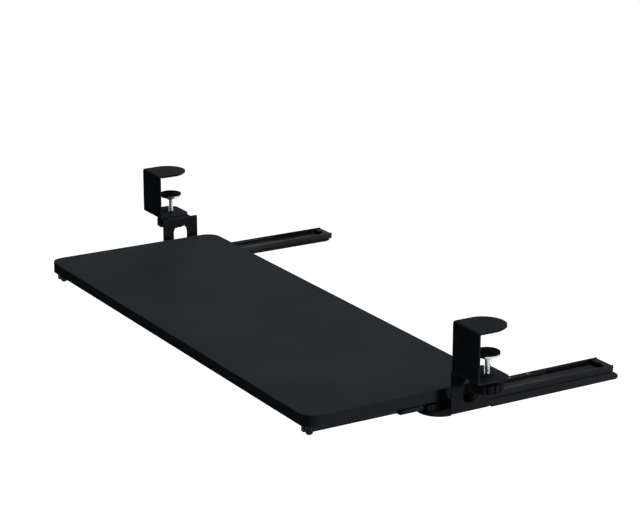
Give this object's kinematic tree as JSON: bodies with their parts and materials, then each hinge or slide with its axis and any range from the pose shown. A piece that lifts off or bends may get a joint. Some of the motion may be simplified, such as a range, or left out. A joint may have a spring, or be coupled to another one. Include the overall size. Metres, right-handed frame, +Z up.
{
  "type": "clamp-on keyboard tray",
  "caption": "Pull-out keyboard tray that clamps under a desk edge: a flat black board with rounded corners on telescopic ball slides, hung from screw clamps with bent steel hangers.",
  "frame": {"origin": "centre of the board's top face, with the board pulled out as in the picture", "axes": "+X to the right of someone sitting in front, +Y to the back under the desk, +Z up"},
  "size_m": [0.784, 0.403, 0.1105],
  "materials": {
    "board_laminate": "satin black laminate over a wood-based board",
    "black_coat": "black powder coat on bent sheet steel",
    "rail_black": "black electro-coat on rolled slide members",
    "zinc": "bright zinc plate",
    "cage_steel": "thin plain steel strip",
    "ball_steel": "polished bearing steel",
    "black_plastic": "moulded black nylon",
    "rubber_pad": "black rubber"
  },
  "bodies": {
    "frame": {"left_clamp_bracket": "black_coat", "right_clamp_bracket": "black_coat", "left_jaw_pad": "rubber_pad", "right_jaw_pad": "rubber_pad", "left_clamp_nut": "black_coat", "right_clamp_nut": "black_coat", "left_hanger": "black_coat", "right_hanger": "black_coat", "left_outer_rail": "rail_black", "right_outer_rail": "rail_black", "left_outer_trim": "black_plastic", "right_outer_trim": "black_plastic", "left_rear_stop": "black_plastic", "right_rear_stop": "black_plastic", "left_rail_rivets": "black_coat", "right_rail_rivets": "black_coat"},
    "tray": {"tray_board": "board_laminate", "left_inner_rail": "rail_black", "right_inner_rail": "rail_black", "left_rail_screws": "zinc", "right_rail_screws": "zinc", "left_end_block": "black_plastic", "right_end_block": "black_plastic", "left_bumper": "rubber_pad", "right_bumper": "rubber_pad"},
    "left_middle": {"left_middle_rail": "rail_black", "left_middle_trim": "black_plastic"},
    "left_outer_bearing": {"left_outer_cage": "cage_steel", "left_outer_balls": "ball_steel"},
    "left_inner_bearing": {"left_inner_cage": "cage_steel", "left_inner_balls": "ball_steel"},
    "left_pad": {"left_pressure_pad": "zinc", "left_pad_face": "rubber_pad"},
    "left_screw": {"left_clamp_screw": "zinc", "left_clamp_knob": "black_plastic"},
    "right_middle": {"right_middle_rail": "rail_black", "right_middle_trim": "black_plastic"},
    "right_outer_bearing": {"right_outer_cage": "cage_steel", "right_outer_balls": "ball_steel"},
    "right_inner_bearing": {"right_inner_cage": "cage_steel", "right_inner_balls": "ball_steel"},
    "right_pad": {"right_pressure_pad": "zinc", "right_pad_face": "rubber_pad"},
    "right_screw": {"right_clamp_screw": "zinc", "right_clamp_knob": "black_plastic"}
  },
  "joints": [
    {"name": "tray_slide", "type": "slide", "parent": "frame", "child": "tray", "axis": [0, 1, 0], "range_m": [-0.06, 0.13]},
    {"name": "left_middle_slide", "type": "slide", "parent": "frame", "child": "left_middle", "axis": [0, 1, 0], "range_m": [-0.0302, 0.0652]},
    {"name": "left_outer_bearing_slide", "type": "slide", "parent": "frame", "child": "left_outer_bearing", "axis": [0, 1, 0], "range_m": [-0.0152, 0.0327]},
    {"name": "left_inner_bearing_slide", "type": "slide", "parent": "frame", "child": "left_inner_bearing", "axis": [0, 1, 0], "range_m": [-0.0452, 0.0977]},
    {"name": "right_middle_slide", "type": "slide", "parent": "frame", "child": "right_middle", "axis": [0, 1, 0], "range_m": [-0.0302, 0.0652]},
    {"name": "right_outer_bearing_slide", "type": "slide", "parent": "frame", "child": "right_outer_bearing", "axis": [0, 1, 0], "range_m": [-0.0152, 0.0327]},
    {"name": "right_inner_bearing_slide", "type": "slide", "parent": "frame", "child": "right_inner_bearing", "axis": [0, 1, 0], "range_m": [-0.0452, 0.0977]},
    {"name": "left_pad_lift", "type": "slide", "parent": "frame", "child": "left_pad", "axis": [0, 0, 1], "range_m": [-0.013, 0.001]},
    {"name": "left_clamp_turn", "type": "hinge", "parent": "left_pad", "child": "left_screw", "pos_m": [-0.3675, 0.078, 0], "axis": [0, 0, 1], "range_deg": [-4690, 370]},
    {"name": "right_pad_lift", "type": "slide", "parent": "frame", "child": "right_pad", "axis": [0, 0, 1], "range_m": [-0.013, 0.001]},
    {"name": "right_clamp_turn", "type": "hinge", "parent": "right_pad", "child": "right_screw", "pos_m": [0.3675, 0.078, 0], "axis": [0, 0, 1], "range_deg": [-4690, 370]}
  ],
  "couplings": [
    {"joint": "left_middle_slide", "follows": "tray_slide", "ratio": 0.5},
    {"joint": "left_outer_bearing_slide", "follows": "tray_slide", "ratio": 0.25},
    {"joint": "left_inner_bearing_slide", "follows": "tray_slide", "ratio": 0.75},
    {"joint": "right_middle_slide", "follows": "tray_slide", "ratio": 0.5},
    {"joint": "right_outer_bearing_slide", "follows": "tray_slide", "ratio": 0.25},
    {"joint": "right_inner_bearing_slide", "follows": "tray_slide", "ratio": 0.75},
    {"joint": "left_clamp_turn", "follows": "left_pad_lift", "rad_per_m": 6283.2},
    {"joint": "right_clamp_turn", "follows": "right_pad_lift", "rad_per_m": 6283.2}
  ]
}
